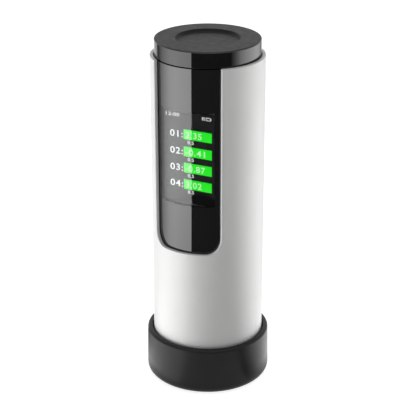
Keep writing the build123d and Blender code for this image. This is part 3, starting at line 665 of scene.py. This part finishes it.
def hookBlock(angle, halfAngle, inner, outer, low, high):
    # a block between two radii, two heights and two angles: rows of four corners, closed at both ends
    rows = 12
    turn = np.radians(np.linspace(angle - halfAngle, angle + halfAngle, rows))[:, None]
    ring = np.array([(inner, low), (outer, low), (outer, high), (inner, high)])
    points = np.stack([ring[:, 0] * np.cos(turn), ring[:, 0] * np.sin(turn), ring[:, 1] + 0 * turn], -1)
    ends = [[0, 1, 2, 3], [4 * rows - 4, 4 * rows - 3, 4 * rows - 2, 4 * rows - 1]]
    faces = gridFaces(rows, 4, False, True).tolist() + ends
    return points.reshape(-1, 3), faces


def addCap(spec):
    top, radius, bottom = capHigh[2], capHigh[0], capLow[2]
    shoulder = windowHigh[2] + spec["seam"]
    skirt, bore = spec["skirtRadius"], spec["skirtRadius"] - spec["skirtWall"]
    ceiling, floor = top - spec["roof"], top - spec["dishDepth"]
    edge, small = spec["edge"], spec["smallEdge"]
    corners = [
        (0, floor, 0), (spec["dishRadius"] - spec["dishSlope"], floor, spec["dishRound"]),
        (spec["dishRadius"], top, spec["lipRound"]), (radius, top, edge), (radius, shoulder, small),
        (skirt, shoulder, small), (skirt, bottom, small), (bore, bottom, small), (bore, ceiling, edge),
        (plungerHigh[0], ceiling, spec["bossEdge"]), (plungerHigh[0], plungerHigh[2], small),
        (0, plungerHigh[2], 0),
    ]
    cap = revolve("measureCap", roundedPath(corners), 240)
    section = (skirt - spec["hookSink"], skirt + spec["hookReach"], bottom, bottom + spec["hookHeight"])
    hooks = [addMesh("hook", *hookBlock(a, spec["hookHalfAngle"], *section)) for a in spec["hookAngles"]]
    joined = bmesh.new()
    for piece in [cap] + hooks:
        joined.from_mesh(piece.data)
    joined.to_mesh(cap.data)
    joined.free()
    for hook in hooks:
        bpy.data.objects.remove(hook)
    softenEdges(cap, 35.0)
    place(cap, "button", "cap_black", [looks["capGloss"], looks["capSatin"]], "measure_cap")
    # the satin face is what looks up above the shoulder, inside the polished edge
    for face in cap.data.polygons:
        middle = face.center / mm
        fromAxis = math.hypot(middle.x, middle.y)
        face.material_index = int(middle.z > floor - 0.01 and fromAxis < radius - spec["satinInset"])


addCap(capShape)
print("cap made")

# Dock: cup with a rounded rim and foot, a ledge with three magnet pockets and a groove for the rubber ring
dockShape = dict(
    rimRadius=17.25,
    rimRound=0.8,
    footRound=2.0,
    bore=15.8,
    boreEdge=0.25,
    seat=6.0,
    ledgeBore=11.4,
    ledgeEdge=0.15,
    floor=2.1,
    floorRound=0.2,
    footHole=9.0,  # radius of the rubber ring's hole
    grooveGap=0.1,
    grooveTop=1.2,
    grooveEdge=0.1,
    pocketCircle=12.9,
    pocketRadius=1.3,
    pocketDepth=1.6,
    pocketAngles=(90, 210, 330),  # degrees from +X
)


def addDock(spec):
    foot, low, top = dockHigh[0], dockLow[2], dockHigh[2]
    grooveOuter = footHigh[0] + spec["grooveGap"]
    grooveInner = spec["footHole"] - spec["grooveGap"]
    groove, ledge = spec["grooveEdge"], spec["ledgeEdge"]
    corners = [
        (0, low, 0), (grooveInner, low, groove), (grooveInner, spec["grooveTop"], groove),
        (grooveOuter, spec["grooveTop"], groove), (grooveOuter, low, groove), (foot, low, spec["footRound"]),
        (spec["rimRadius"], top, spec["rimRound"]), (spec["bore"], top, spec["boreEdge"]),
        (spec["bore"], spec["seat"], ledge), (spec["ledgeBore"], spec["seat"], ledge),
        (spec["ledgeBore"], spec["floor"], spec["floorRound"]), (0, spec["floor"], 0),
    ]
    dock = revolve("dockCup", roundedPath(corners, 9), 240)
    around = np.radians(np.arange(0, 360, 7.5))
    for angle in np.radians(spec["pocketAngles"]):
        centre = spec["pocketCircle"] * np.array([math.cos(angle), math.sin(angle)])
        outline = centre + spec["pocketRadius"] * np.stack([np.cos(around), np.sin(around)], -1)
        pocket = prism("pocketCutter", outline, "z", spec["seat"] - spec["pocketDepth"], spec["seat"] + 1)
        subtract(dock, pocket)
    place(dock, "dock", "dock_black", [looks["dockSatin"]], "dock_cup")


addDock(dockShape)
print("dock made")


# Smaller pieces that show when the meter is lifted or seen from behind: a merged, smooth copy of the solid
def smoothCopy(node, name, smoothAngle=30.0):
    data = frame["nodes"][node].data.copy()
    shell = bmesh.new()
    shell.from_mesh(data)
    bmesh.ops.remove_doubles(shell, verts=shell.verts, dist=0.001 * mm)
    shell.to_mesh(data)
    shell.free()
    data.name = name
    piece = bpy.data.objects.new(name, data)
    bpy.context.scene.collection.objects.link(piece)
    softenEdges(piece, smoothAngle)
    place(piece, nodeBodies[node], nodeSlots[node], [looks[slotLooks[nodeSlots[node]]]], node)
    return piece


copies = {
    "foot_ring": "footRing", "tile_ring": "tileRing", "white_tile": "whiteTile",
    "dock_magnets": "dockMagnets", "bottom_ring": "bottomRing", "ring_magnets": "ringMagnets",
    "ring_screws": "ringScrews", "aperture_ring": "apertureRing", "port_glass": "portGlass",
    "usb_port": "chargingSocket",
}
for nodeName, copyName in copies.items():
    smoothCopy(nodeName, copyName)
coil = smoothCopy("cap_spring", "capSpring")
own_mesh(coil)
print("small pieces smoothed:", len(copies) + 1)

# Picture on the display: plain numbers, in millimetres from the display's middle line and above the table
picture = dict(
    lift=0.02,
    thickness=0.02,
    barLeft=-2.36,
    barRight=5.84,
    barHeight=2.75,
    barMiddles=(74.62, 69.8, 65.15, 60.4),
    values=("2.35", "-0.41", "-0.87", "3.02"),
    valueSpans=((-1.73, 2.9), (-1.9, 3.9), (-1.9, 3.9), (-1.73, 2.9)),
    valueHeight=1.75,
    valueRise=0.45,  # from the bar's lower edge
    valueLift=0.05,  # in front of the bar
    labels=("01:", "02:", "03:", "04:"),
    labelSpan=(-6.3, -2.6),
    labelBases=(73.6, 68.8, 64.05, 59.4),
    labelHeight=1.9,
    limit="0.5",
    limitSpan=(-1.2, 0.6),
    limitHeight=0.95,
    limitDrop=2.65,  # from the bar's middle
    clock="12:00",
    clockSpan=(-7.4, -3.6),
    clockHeight=0.95,
    headerBase=79.35,
    charge="85",
    chargeSpan=(3.0, 4.0),
    batteryLeft=4.25,
    batteryRight=5.5,
    batteryHeight=0.85,
    batteryLine=0.14,
    batteryTip=0.2,
    spacing=1.15,
    bold=0.01,
    labelBold=0.015,
)
faceY = lcdLow[1] - picture["lift"]


def plate(left, right, low, high):
    # a thin upright plate in front of the panel, as eight corners
    y0, y1 = faceY, faceY - picture["thickness"]
    ring = [(left, low), (right, low), (right, high), (left, high)]
    points = [(x, y, z) for y in (y0, y1) for x, z in ring]
    faces = gridFaces(2, 4, False, True).tolist() + [[0, 1, 2, 3], [4, 5, 6, 7]]
    return points, faces


def writing(text, span, base, height, bold=picture["bold"]):
    # the outline of the text as a mesh, stood upright and stretched to fill its span and height
    curve = bpy.data.curves.new("writing", "FONT")
    curve.body = text
    curve.space_character = picture["spacing"]
    curve.offset = bold
    curve.extrude = picture["thickness"] / 2
    curve.resolution_u = 4
    maker = bpy.data.objects.new("writing", curve)
    bpy.context.scene.collection.objects.link(maker)
    bpy.context.view_layer.update()
    data = bpy.data.meshes.new_from_object(maker.evaluated_get(bpy.context.evaluated_depsgraph_get()))
    flat = np.zeros(len(data.vertices) * 3)
    data.vertices.foreach_get("co", flat)
    flat = flat.reshape(-1, 3)
    low, high = flat.min(0), flat.max(0)
    share = (flat[:, :2] - low[:2]) / (high[:2] - low[:2])
    across = span[0] + share[:, 0] * (span[1] - span[0])
    depth = faceY - picture["thickness"] / 2 - flat[:, 2]
    points = np.stack([across, depth, base + share[:, 1] * height], -1)
    faces = [list(face.vertices) for face in data.polygons]
    bpy.data.objects.remove(maker)
    bpy.data.curves.remove(curve)
    bpy.data.meshes.remove(data)
    return points, faces


def together(parts):
    # several (points, faces) as one, with the later faces counted on
    points, faces, count = [], [], 0
    for partPoints, partFaces in parts:
        points.append(np.asarray(partPoints, float))
        faces.extend([[index + count for index in face] for face in partFaces])
        count += len(partPoints)
    return np.concatenate(points), faces


def addPicture(spec):
    half = spec["barHeight"] / 2
    bars = [plate(spec["barLeft"], spec["barRight"], m - half, m + half) for m in spec["barMiddles"]]
    values = [writing(value, span, m - half + spec["valueRise"], spec["valueHeight"])
              for value, span, m in zip(spec["values"], spec["valueSpans"], spec["barMiddles"])]
    labels = [writing(label, spec["labelSpan"], base, spec["labelHeight"], spec["labelBold"])
              for label, base in zip(spec["labels"], spec["labelBases"])]
    limits = [writing(spec["limit"], spec["limitSpan"], m - spec["limitDrop"], spec["limitHeight"])
              for m in spec["barMiddles"]]
    left, right, base = spec["batteryLeft"], spec["batteryRight"], spec["headerBase"]
    line, high = spec["batteryLine"], spec["batteryHeight"]
    header = [
        writing(spec["clock"], spec["clockSpan"], base, spec["clockHeight"]),
        plate(left, right, base, base + line), plate(left, right, base + high - line, base + high),
        plate(left, left + line, base + line, base + high - line),
        plate(right - line, right, base + line, base + high - line),
        plate(right, right + spec["batteryTip"], base + high * 0.3, base + high * 0.7),
        writing(spec["charge"], spec["chargeSpan"], base, high),
    ]
    forward = np.array([0, spec["valueLift"], 0])
    for name, parts, look in (
        ("displayBars", bars, "litGreen"),
        ("displayValues", [(points - forward, faces) for points, faces in values], "litPale"),
        ("displayLabels", labels + limits + header, "litWhite"),
    ):
        piece = addMesh(name, *together(parts))
        place(piece, "meter", "lcd_glass", [looks[look]])


addPicture(picture)
print("display picture made")

# White table, two light panels and a dim card just over it, a lamp above and a white room. Panels, card and
# lamp don't show to the camera
stage = dict(
    floorHalf=2500.0,
    floorColor=(0.9, 0.9, 0.9),
    floorGlow=0.86,
    ambient=0.24,  # what the room gives as light, where it is seen with a brightness of 1
    panelHeight=0.6,  # mm above the table
    nearRadius=21.0,
    farRadius=420.0,
    fade=(25.0, 170.0),  # the panels gain brightness from one radius to the other
    nearShare=0.62,
    # each panel as (degrees from the camera's side, brightness), negative to its left
    leftPanel=(
        (-134, 0.0), (-123, 0.4), (-111, 1.3), (-100, 2.2), (-88, 3.3), (-72, 4.0), (-54, 4.0), (-34.4, 3.8),
    ),
    rightPanel=(
        (48, 0.0), (60, 1.1), (74, 3.0), (88, 3.7), (104, 3.5), (121, 2.8), (135, 1.7), (150, 0.6),
        (160, 0.0),
    ),
    cardRadius=62.0,
    cardColor=(0.002, 0.002, 0.002),
    cardGlow=0.09,
    topLight=dict(size=500.0, height=620.0, brightness=0.9),
)


def tableFan(name, start, end, near, far, height):
    # part of a flat ring over the table, between two directions counted from the camera's side
    rows, columns = 6, 90
    angle = np.radians(np.linspace(start, end, columns) + view["azimuth"])[None, :]
    radius = np.linspace(near, far, rows)[:, None]
    points = onCylinder(radius, angle, 0 * radius + height)
    data = bpy.data.meshes.new(name)
    faces = gridFaces(rows, columns, False, False).tolist()
    data.from_pydata((points.reshape(-1, 3) * mm).tolist(), [], faces)
    fan = bpy.data.objects.new(name, data)
    bpy.context.scene.collection.objects.link(fan)
    fan.visible_camera = False
    return fan


def glowMaterial(name, stops):
    # brightness that changes with the direction from the meter's axis and is less close to the dock; the
    # lower side lets light through
    material = bpy.data.materials.new(name)
    material.use_nodes = True
    tree = material.node_tree
    tree.nodes.clear()
    coordinates = addNode(tree, "ShaderNodeTexCoord")
    turned = addNode(tree, "ShaderNodeVectorRotate", {
        "Vector": coordinates.outputs["Object"], "Angle": -math.radians(view["azimuth"]),
    }, rotation_type="Z_AXIS")
    where = addNode(tree, "ShaderNodeSeparateXYZ", {"Vector": turned.outputs["Vector"]})
    ahead = doMath(tree, "MULTIPLY", where.outputs["Y"], -1.0)
    angle = doMath(tree, "ARCTAN2", where.outputs["X"], ahead)
    low, high = math.radians(stops[0][0]), math.radians(stops[-1][0])
    ramp = addNode(tree, "ShaderNodeValToRGB", {"Fac": spread(tree, angle, 0, 1, low, high)})
    peak = max(level for _, level in stops)
    points = ramp.color_ramp.elements
    while len(points) < len(stops):
        points.new(0.5)
    for point, (direction, _) in zip(points, stops):
        point.position = (math.radians(direction) - low) / (high - low)
    for point, (_, level) in zip(points, stops):
        point.color = (*(level / peak,) * 3, 1)
    reach = addNode(tree, "ShaderNodeVectorMath", {0: coordinates.outputs["Object"]}, operation="LENGTH")
    near, far = (stop * mm for stop in stage["fade"])
    strength = spread(tree, reach.outputs["Value"], peak * stage["nearShare"], peak, near, far)
    glow = addNode(tree, "ShaderNodeEmission", {"Color": ramp.outputs["Color"], "Strength": strength})
    clear = addNode(tree, "ShaderNodeBsdfTransparent")
    below = addNode(tree, "ShaderNodeNewGeometry").outputs["Backfacing"]
    sides = addNode(tree, "ShaderNodeMixShader", {0: below, 1: glow.outputs[0], 2: clear.outputs[0]})
    addNode(tree, "ShaderNodeOutputMaterial", {"Surface": sides.outputs[0]})
    return material


def dimMaterial(name, color, glow):
    material, tree, shader = startMaterial(name)
    shader.inputs["Base Color"].default_value = (*color, 1)
    shader.inputs["Specular IOR Level"].default_value = 0.0
    shader.inputs["Emission Color"].default_value = (1, 1, 1, 1)
    shader.inputs["Emission Strength"].default_value = glow
    return material


def isSeen(tree):
    # 1 for what the camera sees straight, mirrored or through glass, and 0 for what only gives light
    path = addNode(tree, "ShaderNodeLightPath")
    mirrored = doMath(tree, "MAXIMUM", path.outputs["Is Camera Ray"], path.outputs["Is Glossy Ray"])
    return doMath(tree, "MAXIMUM", mirrored, path.outputs["Is Transmission Ray"])


def addFloor(spec):
    half = spec["floorHalf"] * mm
    data = bpy.data.meshes.new("floor")
    corners = [(x * half, y * half, 0) for x, y in ((-1, -1), (1, -1), (1, 1), (-1, 1))]
    data.from_pydata(corners, [], [(0, 1, 2, 3)])
    floor = bpy.data.objects.new("floor", data)
    bpy.context.scene.collection.objects.link(floor)
    material, tree, shader = startMaterial("tableWhite")
    tree.nodes.remove(shader)
    matte = addNode(tree, "ShaderNodeBsdfDiffuse", {"Color": (*spec["floorColor"], 1)})
    glow = addNode(tree, "ShaderNodeEmission", {"Color": (1, 1, 1, 1), "Strength": spec["floorGlow"]})
    both = addNode(tree, "ShaderNodeAddShader", {0: matte.outputs[0], 1: glow.outputs[0]})
    shown = addNode(tree, "ShaderNodeMixShader", {0: isSeen(tree), 1: matte.outputs[0], 2: both.outputs[0]})
    tree.links.new(shown.outputs[0], tree.nodes["Material Output"].inputs["Surface"])
    floor.data.materials.append(material)


def addPanels(spec):
    height, far = spec["panelHeight"], spec["farRadius"]
    for name in ("leftPanel", "rightPanel"):
        stops = spec[name]
        fan = tableFan(name, stops[0][0], stops[-1][0], spec["nearRadius"], far, height)
        fan.data.materials.append(glowMaterial(name, stops))
    gap = (spec["leftPanel"][-1][0], spec["rightPanel"][0][0])
    card = tableFan("frontCard", *gap, spec["cardRadius"], far, height)
    card.data.materials.append(dimMaterial("cardDim", spec["cardColor"], spec["cardGlow"]))


def addLamp(spec):
    size = spec["size"] * mm
    lamp = bpy.data.lights.new("topLight", "AREA")
    lamp.shape = "SQUARE"
    lamp.size = size
    lamp.energy = spec["brightness"] * math.pi * size ** 2
    above = bpy.data.objects.new("topLight", lamp)
    above.location = (0, 0, spec["height"] * mm)
    above.visible_camera = False
    bpy.context.scene.collection.objects.link(above)


def addRoom(spec):
    world = bpy.data.worlds.new("room")
    world.use_nodes = True
    bpy.context.scene.world = world
    tree = world.node_tree
    plain = tree.nodes["Background"]
    plain.inputs["Color"].default_value = (1, 1, 1, 1)
    tree.links.new(spread(tree, isSeen(tree), spec["ambient"], 1.0, 0.0, 1.0), plain.inputs["Strength"])


addFloor(stage)
addPanels(stage)
addLamp(stage["topLight"])
addRoom(stage)
bpy.context.scene.view_settings.view_transform = "Standard"
print("stage and light placed")
